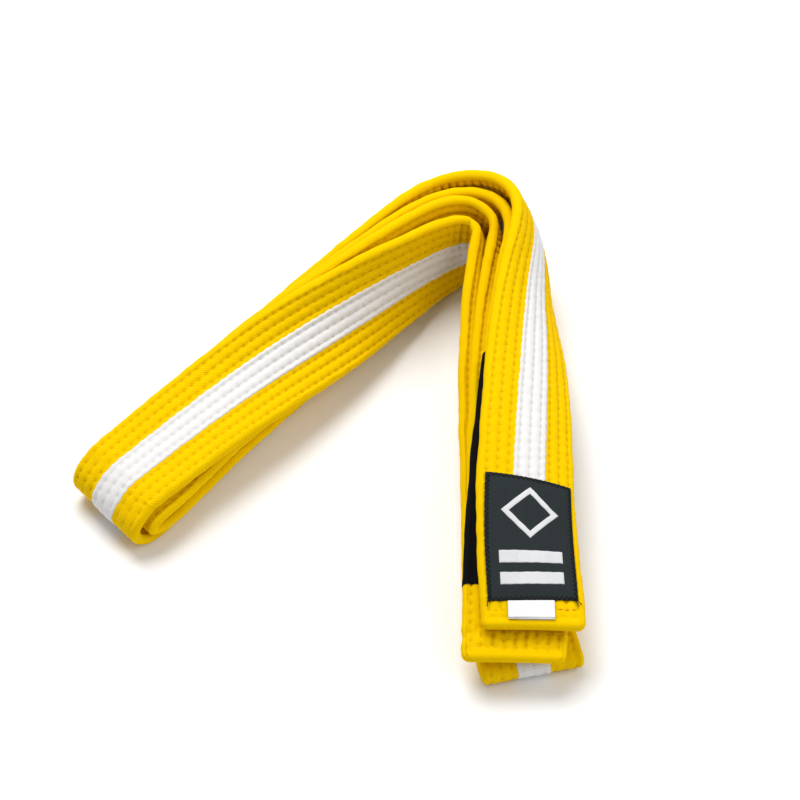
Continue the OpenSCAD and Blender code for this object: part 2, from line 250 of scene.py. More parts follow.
def half_thickness(s, u, side):
    """Height of the face over the belt's middle at s (m, 1) and u (1, n)."""
    x, ds = row_place(s, u)
    crown = 1 - (1 - np.clip(x / (PITCH / 2), 0, 1)) ** 2.4
    hole = np.exp(-(ds / 0.65) ** 2 - (x / 0.6) ** 2)
    between = np.cos(math.pi * ds / STITCH) ** 2
    lively = 1 + 0.22 * waves(s, u, 21 + side, 9, 6)
    relief = PUFF * crown * lively * (1 - 0.6 * smooth(strain(s, u, side), 0.05, 0.5))
    relief = relief - 0.38 * hole * (1 - 0.8 * smooth(strain(s, u, side), 0.1, 0.5))
    relief = relief - 0.07 * between * np.exp(-(x / 1.2) ** 2)
    face = VALLEY + quilted(s) * relief + (1 - quilted(s)) * 0.3
    face = face + 0.07 * waves(s, u, 31 + side, 31, 18)
    face = face - pleats(s, u, side)
    for at, pitch, (low, high), hem_side in HEMS:
        if hem_side == side:
            inside = smooth(u, low - 1, low + 1) * (1 - smooth(u, high - 1, high + 1))
            du = (u / pitch - np.round(u / pitch)) * pitch
            line = np.exp(-((s - at) / 0.8) ** 2) * inside
            face = face - line * (0.22 + 0.4 * np.exp(-(du / 0.7) ** 2))
    gather = smooth(s, LENGTH - 19, LENGTH - 11) * (1 - smooth(s, LENGTH - 6.5, LENGTH - 4.5))
    ridges = np.sin(2 * math.pi * (u + 1.2 * np.sin(s / 4)) / 3.1 + 1.5 * waves(s, u, 71, 20, 14))
    return face + 0.42 * gather * ridges * (0.6 + 0.4 * waves(s, u, 72, 25, 20))


def face_columns():
    """Positions across one face, closest together at the rows."""
    near = [r + d for r in ROWS for d in (-1.25, -0.45, 0, 0.45, 1.25)]
    mid = [r + PITCH / 2 for r in ROWS[:-1]]
    return np.array(sorted(near + mid))


def section_loop(s, lift=0.0, relief=1.0):
    """u, h and shade of the closed section at each s, anticlockwise, and each column's arc position."""
    cols = face_columns()
    s = s[:, None]
    front, back = cols[::-1][None, :], cols[None, :]
    base = VALLEY + 0.4
    hf = base + relief * (half_thickness(s, front, 1) - base) + lift
    hb = base + relief * (half_thickness(s, back, -1) - base) + lift
    edge_r = 0.5 * (hf[:, :1] + hb[:, -1:])
    angles = np.radians(np.arange(-75, 76, 15))
    wander = 0.18 * waves(s, 0, 51, 46, 1) + 0.1 * waves(s, 0, 52, 13, 1)
    right_r, left_r = edge_r, 0.5 * (hf[:, -1:] + hb[:, :1])
    right_u = EDGE + right_r * np.cos(angles)[None, :] + wander
    left_u = -EDGE - left_r * np.cos(angles)[None, ::-1] + wander * 0.7
    ones = np.ones_like(s)
    u = np.concatenate([right_u, ones * front, left_u, ones * back], 1)
    h = np.concatenate([right_r * np.sin(angles)[None, :], hf,
                        left_r * np.sin(angles)[None, ::-1], -hb], 1)
    bare = np.zeros((len(s), len(angles)))
    shade = np.concatenate([bare, painted_shade_at(s, front, 1), bare, painted_shade_at(s, back, -1)], 1)
    v = np.concatenate([EDGE + EDGE_RADIUS * (np.pi / 2 - angles), cols[::-1],
                        -EDGE - EDGE_RADIUS * (np.pi / 2 - angles[::-1]), cols - 2 * EDGE - EDGE_ARC])
    return u, h, shade, v


def round_tips(s, u, h):
    """Rounds the belt off over its last few millimetres at both tips."""
    end = np.minimum(s, LENGTH - s)[:, None]
    face_radius, corner_radius = 2.2, 3.0
    thin = np.sqrt(np.clip(1 - (1 - np.clip(end / face_radius, 0, 1)) ** 2, 0.0, 1))
    inset = corner_radius - np.clip(end, 0, corner_radius)
    cut = corner_radius - np.sqrt(np.clip(corner_radius ** 2 - inset ** 2, 0, None))
    narrow = (BELT_W / 2 - cut) / (BELT_W / 2)
    return u * narrow, h * np.clip(thin, 0.04, 1)


# ---------------------------------------------------------------- mesh building
def make_object(name, points_mm, faces, uv=None, material=None, slot=None, painted_shade=None):
    """A smooth mesh object with flat end caps.

    uv is one pair per face corner, in the order of faces; the last argument is the painted shade of each
    point.
    """
    mesh = bpy.data.meshes.new(name)
    mesh.from_pydata((np.asarray(points_mm) * MM).tolist(), [], [list(map(int, f)) for f in faces])
    if uv is not None:
        layer = mesh.uv_layers.new(name="Belt")
        layer.data.foreach_set("uv", np.asarray(uv, np.float32).ravel())
    mesh.polygons.foreach_set("use_smooth", [len(f) <= 4 for f in faces])
    for cap in (f for f in mesh.polygons if len(f.vertices) > 4):
        for corner in cap.loop_indices:
            mesh.edges[mesh.loops[corner].edge_index].use_edge_sharp = True
    if painted_shade is not None:
        # Painted shade of the needle holes and puckers, one value per point, which the material uses to
        # darken the colour
        painted_shade_attribute = mesh.attributes.new("PaintedShade", "FLOAT", "POINT")
        painted_shade_attribute.data.foreach_set("value", np.asarray(painted_shade, np.float32).ravel())
    obj = bpy.data.objects.new(name, mesh)
    bpy.context.scene.collection.objects.link(obj)
    if material:
        mesh.materials.append(material)
    return obj


def grid_faces(m, n, closed, base=0):
    """Quads of a grid of m rows of n points, facing outwards for an anticlockwise section."""
    i, j = np.meshgrid(np.arange(m - 1), np.arange(n if closed else n - 1), indexing="ij")
    k = (j + 1) % n
    quads = np.stack([i * n + j, i * n + k, (i + 1) * n + k, (i + 1) * n + j], -1) + base
    return quads.reshape(-1, 4)


def grid_uv(s, v, closed, turn=None):
    """Face-corner coordinates in mm for grid_faces: s along the rows, v across the columns."""
    w = np.append(v, turn) if closed else v
    i, j = np.meshgrid(np.arange(len(s) - 1), np.arange(len(w) - 1), indexing="ij")
    corners = [(s[i], w[j]), (s[i], w[j + 1]), (s[i + 1], w[j + 1]), (s[i + 1], w[j])]
    return np.stack([np.stack(c, -1) for c in corners], 2).reshape(-1, 2) * MM


def rings(a, b, tips=(False, False)):
    """Distances of the rings of a stretch, closer together over a rounded tip."""
    step = STITCH / 6
    s = np.arange(math.ceil(a / step) * step, b, step)
    s = s[(s > a + 0.2) & (s < b - 0.2)]
    s = np.concatenate([[a], s, [b]])
    fine = np.array([0, 0.05, 0.2, 0.45, 0.8, 1.3, 1.9, 2.6])
    if tips[0]:
        s = np.concatenate([a + fine, s[s > a + 3]])
    if tips[1]:
        s = np.concatenate([s[s < b - 3], b - fine[::-1]])
    return s


def belt_cover(name, a, b, material, tips=(False, False), lift=0.0, relief=1.0, slot="yellow_cotton"):
    """The closed, quilted skin of the belt from a to b."""
    s = rings(a, b, tips)
    u, h, shade, v = section_loop(s, lift, relief)
    if any(tips):
        u, h = round_tips(s, u, h)
    points = place(s, u, h)
    m, n = h.shape
    faces = grid_faces(m, n, True)
    uv = grid_uv(s, v, True, v[0] - 2 * (2 * EDGE + EDGE_ARC))
    polygons = list(faces) + [np.arange(n)[::-1], (m - 1) * n + np.arange(n)]
    caps = [np.stack([np.full(n, s[0]), v[::-1]], 1) * MM, np.stack([np.full(n, s[-1]), v], 1) * MM]
    uv = np.concatenate([uv] + caps)
    return make_object(name, points.reshape(-1, 3), polygons, uv, material, slot, shade)


def ribbon(name, a, b, half, top, sink, material, slot, scallop):
    """A thin closed ribbon on the quilted front face, top above it and its edges sunk into it."""
    s = rings(a, b)
    cols = face_columns()
    cols = cols[np.abs(cols) < half - 0.3]
    cols = np.repeat(np.concatenate([[-half], cols, [half]])[::-1][None, :], len(s), 0)
    wave = scallop * (np.cos(2 * math.pi * s / STITCH) + 0.6 * waves(s, 0, 61, 17, 1))
    cols[:, 0] += wave
    cols[:, -1] -= wave * 0.8
    face = half_thickness(s[:, None], cols, 1)
    over = face + top
    over[:, [0, -1]] -= 0.55 * top
    u = np.concatenate([cols, cols[:, ::-1]], 1)
    h = np.concatenate([over, (face - sink)[:, ::-1]], 1)
    m, n = h.shape
    v = np.concatenate([cols[0], cols[0, ::-1]])
    polygons = list(grid_faces(m, n, True)) + [np.arange(n)[::-1], (m - 1) * n + np.arange(n)]
    uv = np.concatenate([grid_uv(s, v, True, v[0]), np.stack([np.full(n, s[0]), v[::-1]], 1) * MM,
                         np.stack([np.full(n, s[-1]), v], 1) * MM])
    # Painted shade of the stripe's needle holes and puckers, on its top face only
    shade = painted_shade_at(s[:, None], cols, 1)
    shade = np.concatenate([shade, 0 * shade], 1)
    return make_object(name, place(s, u, h).reshape(-1, 3), polygons, uv, material, slot, shade)


def thread_tubes(paths, normals, radii, sides=6):
    """Points and quads of many small tubes: paths (k, m, 3) in mm, normals (k, m, 3), radii (m,)."""
    along = unit(np.gradient(paths, axis=1))
    across = unit(np.cross(along, normals))
    up = np.cross(across, along)
    angle = np.arange(sides) * 2 * math.pi / sides
    ring = (np.cos(angle)[:, None] * across[:, :, None, :] + np.sin(angle)[:, None] * up[:, :, None, :])
    points = paths[:, :, None, :] + ring * np.asarray(radii)[None, :, None, None]
    k, m = paths.shape[:2]
    one = grid_faces(m, sides, True)
    faces = (one[None] + (np.arange(k) * m * sides)[:, None, None]).reshape(-1, 4)
    return points.reshape(-1, 3), faces


def merged(parts):
    """Several (points, faces) joined into one."""
    points, faces, base = [], [], 0
    for p, f in parts:
        points.append(p)
        faces.append(f + base)
        base += len(p)
    return np.concatenate(points), np.concatenate(faces)


def quilting_threads(name, a, b, rows, side, material, slot, rise=0.0):
    """The lockstitches of the rows on one face from a to b, one short tube from hole to hole."""
    parts = []
    spread = np.array([-0.5, -0.34, -0.12, 0.12, 0.34, 0.5]) * STITCH * 0.97
    lift = np.array([-0.3, -0.1, -0.02, -0.02, -0.1, -0.3])
    for r in rows:
        middle = (np.arange(math.floor(a / STITCH) - 1, b / STITCH + 2) + 0.5) * STITCH
        centre = middle
        for _ in range(4):
            centre = middle - row_slip(r, centre)
        centre = centre[(centre > a + 0.5 * STITCH) & (centre < b - 0.5 * STITCH)]
        centre = centre[(centre > 8) & (centre < LENGTH - 4.6)]
        if len(centre) == 0:
            continue
        s = centre[:, None] + spread[None, :]
        flat = s.ravel()
        u = np.full((len(flat), 1), r * PITCH) - 0.12 * waves(flat[:, None], 0.0, 11, 90, 50)
        face = half_thickness(flat[:, None], u, side)
        h = (face + np.tile(lift, len(centre))[:, None] + rise) * side
        points = place(flat, u, h)[:, 0]
        above = place(flat, u, h + side)[:, 0]
        shape = (len(centre), len(spread), 3)
        parts.append(thread_tubes(points.reshape(shape), unit(above - points).reshape(shape),
                                  [0.08, 0.13, 0.16, 0.16, 0.13, 0.08]))
    points, faces = merged(parts)
    return make_object(name, points, faces, None, material, slot)


# ---------------------------------------------------------------- materials
class Cloth:
    """A Principled cloth with a small node tree that is built a node at a time."""

    def __init__(self, name, colour, roughness, specular):
        self.material = bpy.data.materials.new(name)
        self.material.use_nodes = True
        self.material.diffuse_color = (*colour, 1)
        self.tree = self.material.node_tree
        self.shader = self.tree.nodes["Principled BSDF"]
        self.shader.inputs["Base Color"].default_value = (*colour, 1)
        self.shader.inputs["Roughness"].default_value = roughness
        self.shader.inputs["Specular IOR Level"].default_value = specular
        self.height = None

    def node(self, kind, **settings):
        made = self.tree.nodes.new(kind)
        for key, value in settings.items():
            if key in made.inputs.keys():
                made.inputs[key].default_value = value
            else:
                setattr(made, key, value)
        return made

    def math(self, operation, *values):
        made = self.node("ShaderNodeMath", operation=operation)
        for socket, value in zip(made.inputs, values):
            if isinstance(value, (int, float)):
                socket.default_value = value
            else:
                self.tree.links.new(value, socket)
        return made.outputs[0]

    def belt_axes(self):
        """Distance along the belt and across it, in metres."""
        uv = self.node("ShaderNodeUVMap", uv_map="Belt")
        split = self.node("ShaderNodeSeparateXYZ")
        self.tree.links.new(uv.outputs[0], split.inputs[0])
        return split.outputs[0], split.outputs[1]

    def ripple(self, length, pitch_mm, sharp=1.0):
        """0 to 1 along a coordinate, one ridge for each pitch."""
        wave = self.math("SINE", self.math("MULTIPLY", length, 2 * math.pi / (pitch_mm * MM)))
        lifted = self.math("MULTIPLY_ADD", wave, 0.5, 0.5)
        return self.math("POWER", lifted, sharp) if sharp != 1 else lifted

    def noise(self, scale, detail=2.0):
        coords = self.node("ShaderNodeTexCoord")
        made = self.node("ShaderNodeTexNoise", Scale=scale, Detail=detail)
        self.tree.links.new(coords.outputs["Object"], made.inputs["Vector"])
        return made.outputs["Fac"]

    def add_height(self, value, weight):
        part = self.math("MULTIPLY", value, weight)
        self.height = part if self.height is None else self.math("ADD", self.height, part)

    def bump(self, depth_mm):
        made = self.node("ShaderNodeBump", Strength=1.0, Distance=depth_mm * MM)
        self.tree.links.new(self.height, made.inputs["Height"])
        self.tree.links.new(made.outputs[0], self.shader.inputs["Normal"])

    def mix(self, factor, first, second):
        """A colour between two; first may be a colour or a node's output."""
        made = self.node("ShaderNodeMix", data_type="RGBA")
        a, b = [x for x in made.inputs if x.type == "RGBA"]
        self.tree.links.new(factor, made.inputs["Factor"])
        if isinstance(first, tuple):
            a.default_value = (*first, 1)
        else:
            self.tree.links.new(first, a)
        b.default_value = (*second, 1)
        return [x for x in made.outputs if x.type == "RGBA"][0]

    def shade(self, factor, dark, light, painted_shade=None):
        """Colours the cloth between two colours, and paints shade into its needle holes and puckers with a
        third.
        """
        colour = self.mix(factor, dark, light)
        if painted_shade:
            # Painted shade: the colour of the needle holes and puckers is darkened towards the third colour
            painted_shade_attribute = self.node("ShaderNodeAttribute", attribute_name="PaintedShade")
            colour = self.mix(painted_shade_attribute.outputs["Fac"], colour, painted_shade)
        self.tree.links.new(colour, self.shader.inputs["Base Color"])


YELLOW = (0.89, 0.58, 0.0)
YELLOW_DEEP = (0.79, 0.475, 0.0)
# The colour painted into needle holes and puckers as their shade
YELLOW_PAINTED_SHADE = (0.42, 0.18, 0.0)


def twill(name, light, dark, painted_shade, pitch, depth):
    """Diagonal cotton twill with a little slub and cloudiness in its colour."""
    cloth = Cloth(name, light, 0.95, 0.04)
    s, v = cloth.belt_axes()
    diagonal = cloth.math("MULTIPLY", cloth.math("ADD", s, v), math.sqrt(0.5))
    ridges = cloth.ripple(diagonal, pitch, 0.8)
    yarns = cloth.ripple(cloth.math("SUBTRACT", v, s), pitch * 0.9)
    cloud = cloth.noise(90, 3.0)
    fibre = cloth.noise(2600, 2.0)
    cloth.add_height(ridges, 1.0)
    cloth.add_height(yarns, 0.25)
    cloth.add_height(fibre, 0.5)
    cloth.bump(depth)
    tone = cloth.math("ADD", cloth.math("MULTIPLY", ridges, 0.45), cloth.math("MULTIPLY", cloud, 0.35))
    tone = cloth.math("ADD", tone, cloth.math("MULTIPLY", fibre, 0.3))
    cloth.shade(tone, dark, light, painted_shade)
    return cloth.material


def ribbed(name, light, dark, pitch, depth, painted_shade=None):
    """Ribbon with fine ribs across it and overcast edges."""
    cloth = Cloth(name, light, 0.85, 0.1)
    s, v = cloth.belt_axes()
    ribs = cloth.ripple(s, pitch, 0.7)
    edge = cloth.math("GREATER_THAN", cloth.math("ABSOLUTE", v), 5.0 * MM)
    strong = cloth.math("MULTIPLY", ribs, cloth.math("MULTIPLY_ADD", edge, 0.7, 0.5))
    fibre = cloth.noise(2200, 2.0)
    cloth.add_height(strong, 1.0)
    cloth.add_height(fibre, 0.3)
    cloth.bump(depth)
    cloth.shade(cloth.math("ADD", cloth.math("MULTIPLY", ribs, 0.6), cloth.math("MULTIPLY", fibre, 0.5)),
                dark, light, painted_shade)
    return cloth.material


def damask(name, light, dark):
    """The label's fine, slightly heathered weave."""
    cloth = Cloth(name, light, 0.8, 0.15)
    s, v = cloth.belt_axes()
    warp, weft = cloth.ripple(v, 0.42), cloth.ripple(s, 0.36)
    grain = cloth.math("MULTIPLY", warp, weft)
    fibre = cloth.noise(1500, 3.0)
    cloth.add_height(grain, 1.0)
    cloth.add_height(fibre, 0.4)
    cloth.bump(0.07)
    cloth.shade(cloth.math("ADD", cloth.math("MULTIPLY", grain, 0.55), cloth.math("MULTIPLY", fibre, 0.5)),
                dark, light)
    return cloth.material


def spun(name, light, dark, roughness=0.6):
    """Sewing thread, with a twist that shows as fine noise."""
    cloth = Cloth(name, light, roughness, 0.15)
    fibre = cloth.noise(3000, 2.0)
    cloth.add_height(fibre, 1.0)
    cloth.bump(0.05)
    cloth.shade(fibre, dark, light)
    return cloth.material


# The third colour of both twills and the last colour of the white ribbon are painted shade for needle holes
# and puckers
yellow_cloth = twill("yellow_twill", YELLOW, YELLOW_DEEP, YELLOW_PAINTED_SHADE, 0.85, 0.07)
black_cloth = twill("black_twill", (0.008, 0.008, 0.009), (0.003, 0.003, 0.004), (0.002, 0.002, 0.002),
                    0.8, 0.07)
white_ribbon = ribbed("white_grosgrain", (0.80, 0.795, 0.785), (0.69, 0.675, 0.66), 0.7, 0.08,
                      (0.52, 0.50, 0.48))
label_cloth = damask("label_damask", (0.030, 0.039, 0.042), (0.014, 0.019, 0.021))
yellow_thread = spun("yellow_thread", (0.85, 0.57, 0.0), (0.74, 0.45, 0.0))
white_thread = spun("white_thread", (0.78, 0.77, 0.76), (0.66, 0.65, 0.63))
black_thread = spun("black_thread", (0.006, 0.006, 0.007), (0.003, 0.003, 0.003), 0.5)
orange_thread = spun("orange_thread", (0.9, 0.3, 0.01), (0.7, 0.18, 0.01))
motif_thread = ribbed("motif_satin", (0.76, 0.76, 0.77), (0.54, 0.55, 0.57), 0.45, 0.06)
satin = ribbed("tag_satin", (0.84, 0.84, 0.84), (0.77, 0.77, 0.78), 0.3, 0.02)

# ---------------------------------------------------------------- the belt
# Where one stretch's pieces end and the next one's start: on the right arm above the label, in
# the folds, midway along the hidden layers, and on the right arm above the rank end
SPLITS = [at_t(t) for t in (3, 13, 24.5, 36, 46, 59)]


def across_bend(piece):
    """Bakes the piece's placement into its mesh; the piece is not turned."""
    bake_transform(piece)
    return piece


def lift_with(piece, joint):
    """Reads a belt end's joint and its hinge, then bakes the piece's placement into its mesh; the piece is
    not bent over the joint.
    """
    hinge = next(j for j in frame["joints"] if j["name"] == joint)
    axis, pos = Vector(hinge["axis"]), Vector(hinge["pos_m"])
    towards = Vector((axis.y, -axis.x, 0)).normalized()
    if towards.y > 0:
        towards = -towards
    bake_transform(piece)
    return piece


def label_bend(piece):
    return lift_with(piece, "label_end_lift")


def rank_bend(piece):
    return lift_with(piece, "rank_end_lift")


STRIPE_ROWS, LEFT_ROWS, RIGHT_ROWS = (-1, 0, 1), (2, 3, 4), (-4, -3, -2)
STRIPE_FROM_TIP, STRIPE_RISE = 3.0, 0.24


def dress(tag, a, b, move, nodes, stripe_nodes, tips=(False, False)):
    """Cover, stripe and quilting threads of one stretch of the belt."""
    cover = belt_cover("cover_" + tag, a, b, yellow_cloth, tips)
    stripe = ribbon("stripe_" + tag, max(a, STRIPE_FROM_TIP) if tips[0] else a,
                    min(b, LENGTH - STRIPE_FROM_TIP) if tips[1] else b,
                    STRIPE_HALF, STRIPE_RISE, 0.5, white_ribbon, "white_ribbon", 0.16)
    top = quilting_threads("quilting_front_" + tag, a, b, LEFT_ROWS + RIGHT_ROWS, 1, yellow_thread,
                           "yellow_cotton")
    on_stripe = quilting_threads("quilting_stripe_" + tag, a, b, STRIPE_ROWS, 1, white_thread,
                                 "white_ribbon", STRIPE_RISE)
    back = quilting_threads("quilting_back_" + tag, a, b, LEFT_ROWS + STRIPE_ROWS + RIGHT_ROWS, -1,
                            yellow_thread, "yellow_cotton")
    if nodes:
        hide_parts(*nodes)
    if stripe_nodes:
        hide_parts(*stripe_nodes)
    for piece in (cover, stripe, top, on_stripe, back):
        move(piece)


dress("label_end", 0, SPLITS[0], label_bend,
      ["cover_label_end", "core_label_end", "label_end_hem", "cover_label_run", "core_label_run"],
      ["stripe_label_end", "stripe_label_run"], (True, False))
dress("rank_end", SPLITS[-1], LENGTH, rank_bend,
      ["cover_rank_end", "core_rank_end", "rank_end_hem", "cover_rank_run", "core_rank_run"],
      ["stripe_rank_end", "stripe_rank_run"], (False, True))
NODE_SETS = {"left_under": ([], []),
             "outer_fold": (["cover_outer_fold", "core_outer_fold"], ["stripe_outer_fold"]),
             "front_fold": (["cover_front_fold", "core_front_fold"], ["stripe_front_fold"]),
             "left_middle": ([], []),
             "inner_fold": (["cover_inner_fold", "core_inner_fold"], ["stripe_inner_fold"])}
for (tag, (nodes, stripe_nodes)), a, b in zip(NODE_SETS.items(), SPLITS[:-1], SPLITS[1:]):
    dress(tag, a, b, across_bend, nodes, stripe_nodes)

# ---------------------------------------------------------------- rank bar
BAR_FROM, BAR_TO = LENGTH - 133.5, LENGTH - 30.5
bar = belt_cover("rank_bar_sleeve", BAR_FROM, BAR_TO, black_cloth, lift=0.42, relief=0.45,
                 slot="black_cotton")
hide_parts("rank_bar")
rank_bend(bar)


# ---------------------------------------------------------------- the label
LABEL_W, LABEL_LEN, LABEL_FROM = 34.0, 52.0, 11.0
LABEL_FAR = LABEL_FROM + LABEL_LEN
LABEL_MID = LABEL_FROM + LABEL_LEN / 2


def label_height(s, u):
    """Top of the label over the belt's middle: puffy over the quilting, drawn down along its rim."""
    x = LABEL_W / 2 - np.abs(u)
    y = LABEL_LEN / 2 - np.abs(s - LABEL_MID)
    rim = np.minimum(x, y)
    rounded = np.sqrt(np.clip(1 - (1 - np.clip(rim / 0.5, 0, 1)) ** 2, 0, 1))
    pull = np.exp(-((rim - 1.6) / 1.0) ** 2) * (0.16 + 0.07 * np.sin(2 * math.pi * (s + u) / 2.6))
    swell = 0.3 * smooth(rim, 1.5, 6) + 0.10 * waves(s, u, 81, 22, 16) * smooth(rim, 2, 7)
    rows = 0.10 * np.cos(2 * math.pi * u / PITCH) * smooth(rim, 2, 5)
    return 2.75 + 0.45 * rounded + swell - pull - rows


def pad(s, u, top, under):
    """Points, faces and uv of a closed pad over a grid of s (m,) and u (n,), between two heights (m, n)."""
    m, n = top.shape
    s_all, u_all = np.repeat(s[:, None], n, 1), np.repeat(u[None, ::-1], m, 0)
    points = np.concatenate([place(s, u_all, h[:, ::-1]).reshape(-1, 3) for h in (top, under)])
    rim = np.concatenate([np.arange(n), np.arange(1, m) * n + n - 1,
                          (m - 1) * n + np.arange(n - 1)[::-1], np.arange(1, m - 1)[::-1] * n])
    after = np.roll(rim, -1)
    walls = np.stack([after, rim, rim + m * n, after + m * n], 1)
    faces = np.concatenate([grid_faces(m, n, False), grid_faces(m, n, False, m * n)[:, ::-1], walls])
    flat = np.stack([s_all, u_all], -1).reshape(-1, 2) * MM
    return points, faces, np.concatenate([flat, flat])[faces.ravel()]


def patch(name, s, u, top, base, material, slot):
    """A pad with its top at the given heights and walls down to base."""
    points, faces, uv = pad(s, u, top, np.minimum(top - 0.05, base))
    return make_object(name, points, faces, uv, material, slot)


def fine_to_rim(low, high, step):
    """Even positions with a few close ones at both ends."""
    close = np.array([0, 0.04, 0.14, 0.3, 0.5, 0.8])
    span = high - low - 2.4
    inner = np.arange(low + 1.2, high - 1.2 + 1e-6, span / round(span / step))
    return np.concatenate([low + close, inner, high - close[::-1]])


label_s = fine_to_rim(LABEL_FROM, LABEL_FAR, 0.6)
label_u = fine_to_rim(-LABEL_W / 2, LABEL_W / 2, 0.6)
LABEL_BASE, MOTIF_BASE = 2.35, 2.9
label_top = label_height(label_s[:, None], label_u[None, :])
label = patch("woven_label_cloth", label_s, label_u, label_top, LABEL_BASE, label_cloth, "label_weave")
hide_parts("woven_label")
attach(label, "label_end")


def raised_top(s, u, inside):
    """Embroidery over the label; inside is the distance in from the edge of its shape."""
    crown = np.sqrt(np.clip(1 - (1 - np.clip(inside / 0.45, 0, 1)) ** 2, 0, 1))
    return label_height(s, u) + 0.03 + 0.2 * crown


LOZENGE_MID, LOZENGE_HALF, LOZENGE_LINE = LABEL_FROM + 0.7 * LABEL_LEN, 11.0, 3.0
BAR_HALF, BAR_HEIGHT = 12.0, 5.0


def lozenge():
    """Points, faces and uv of the raised lozenge outline."""
    corner = np.array([[1.0, 0], [0, 1], [-1, 0], [0, -1], [1, 0]])
    loop = np.concatenate([corner[q] + (corner[q + 1] - corner[q]) * np.linspace(0, 1, 24, False)[:, None]
                           for q in range(4)])
    across = np.array([0, 0.04, 0.15, 0.35, 0.65, 0.85, 0.96, 1.0])
    su = loop[:, None, :] * (LOZENGE_HALF - LOZENGE_LINE * across)[None, :, None]
    s, u = LOZENGE_MID + su[..., 1], su[..., 0]
    inside = np.minimum(across, 1 - across)[None, :] * LOZENGE_LINE * math.sqrt(0.5)
    top = raised_top(s, u, inside + 0 * s)

    def column(k, drop):
        return place(s[:, k], u[:, k:k + 1], top[:, k:k + 1] - drop)[:, 0]

    grid = np.stack([column(k, 0) for k in range(8)] + [column(k, 0.5) for k in (7, 0)], 1)
    grid = np.concatenate([grid, grid[:1]], 0)
    uv = np.stack([np.concatenate([a, a[:, 7:], a[:, :1]], 1) for a in (s, u)], -1)
    uv = np.concatenate([uv, uv[:1]], 0).reshape(-1, 2) * MM
    faces = grid_faces(grid.shape[0], 10, True)
    return grid.reshape(-1, 3), faces, uv[faces.ravel()]


motif = make_object("label_mark_lozenge", *lozenge(), motif_thread, "white_thread")
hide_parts("label_motif")
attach(motif, "label_end")
for number, share in enumerate((0.34, 0.17), 1):
    at = LABEL_FROM + share * LABEL_LEN
    bar_s = fine_to_rim(at - BAR_HEIGHT / 2, at + BAR_HEIGHT / 2, 0.5)
    bar_u = fine_to_rim(-BAR_HALF, BAR_HALF, 0.6)
    inside = np.minimum(BAR_HEIGHT / 2 - np.abs(bar_s - at)[:, None], (BAR_HALF - np.abs(bar_u))[None, :])
    bar_top = raised_top(bar_s[:, None], bar_u[None, :], inside)
    line = patch(f"label_mark_bar_{number}", bar_s, bar_u, bar_top, MOTIF_BASE, motif_thread, "white_thread")
    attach(line, "label_end")


def surface_tubes(name, paths, radii, material, slot, above):
    """Threads laid on the label and round it: paths (k, m, 3) of s, u and rise over the surface."""
    k, m = paths.shape[:2]
    flat = paths.reshape(-1, 3)
    height = above(flat[:, :1], flat[:, 1:2]) + flat[:, 2:]
    points = place(flat[:, 0], flat[:, 1:2], height)[:, 0]
    over = place(flat[:, 0], flat[:, 1:2], height + 1)[:, 0]
    points, faces = thread_tubes(points.reshape(k, m, 3), unit(over - points).reshape(k, m, 3), radii)
    return make_object(name, points, faces, None, material, slot)


def rim_surface(s, u):
    """The label inside its rim and the belt's cloth outside it."""
    rim = np.minimum(LABEL_W / 2 - np.abs(u), LABEL_LEN / 2 - np.abs(s - LABEL_MID))
    return np.where(rim > -0.1, label_height(s, u), 2.55)


def zigzag_paths():
    """Black zigzag stitches over the label's rim, as s, u and rise."""
    out = []
    ease = np.linspace(0, 1, 7)
    rise = np.array([-0.25, 0.0, 0.1, 0.13, 0.1, 0.0, -0.25])
    for side in (-1, 1):
        stops = np.arange(LABEL_FROM + 0.6, LABEL_FAR - 0.4, 0.95)
        for k, (a, b) in enumerate(zip(stops[:-1], stops[1:])):
            far, near = LABEL_W / 2 + 0.1 + 0.12 * math.sin(k * 2.1), LABEL_W / 2 - 1.75
            c, d = (far, near) if k % 2 else (near, far)
            out.append(np.stack([a + (b - a) * ease, side * (c + (d - c) * ease), rise], 1))
    for at in (LABEL_FROM, LABEL_FAR):
        stops = np.arange(-LABEL_W / 2 + 0.6, LABEL_W / 2 - 0.4, 0.95)
        inward = 1.75 if at == LABEL_FROM else -1.75
        for k, (a, b) in enumerate(zip(stops[:-1], stops[1:])):
            c, d = (at - inward * 0.06, at + inward) if k % 2 else (at + inward, at - inward * 0.06)
            out.append(np.stack([c + (d - c) * ease, a + (b - a) * ease, rise], 1))
    return np.array(out)


border = surface_tubes("label_border_zigzag", zigzag_paths(), [0.09, 0.16, 0.2, 0.2, 0.2, 0.16, 0.09],
                       black_thread, "black_thread", rim_surface)
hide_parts("label_border_stitch")
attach(border, "label_end")


def loose_thread(name, stops, radius, material, slot, body, side=1):
    """A thread tail through the given stops of s, u and height over the belt's middle."""
    stops = np.array(stops, float)
    t = np.linspace(0, len(stops) - 1, 10 * len(stops))
    k = np.clip(np.floor(t).astype(int), 0, len(stops) - 2)
    f = (t - k)[:, None]
    padded = np.concatenate([[2 * stops[0] - stops[1]], stops, [2 * stops[-1] - stops[-2]]])
    a, b, c, d = padded[k], padded[k + 1], padded[k + 2], padded[k + 3]
    path = 0.5 * (2 * b + (c - a) * f + (2 * a - 5 * b + 4 * c - d) * f ** 2
                  + (3 * b - a - 3 * c + d) * f ** 3)
    points = place(path[:, 0], path[:, 1:2], path[:, 2:] * side)[:, 0]
    over = place(path[:, 0], path[:, 1:2], (path[:, 2:] + 1) * side)[:, 0]
    radii = np.full(len(points), radius)
    radii[[0, -1]] = radius * 0.35
    points, faces = thread_tubes(points[None], unit(over - points)[None], radii, 8)
    tail = make_object(name, points, faces, None, material, slot)
    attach(tail, body)
    return tail


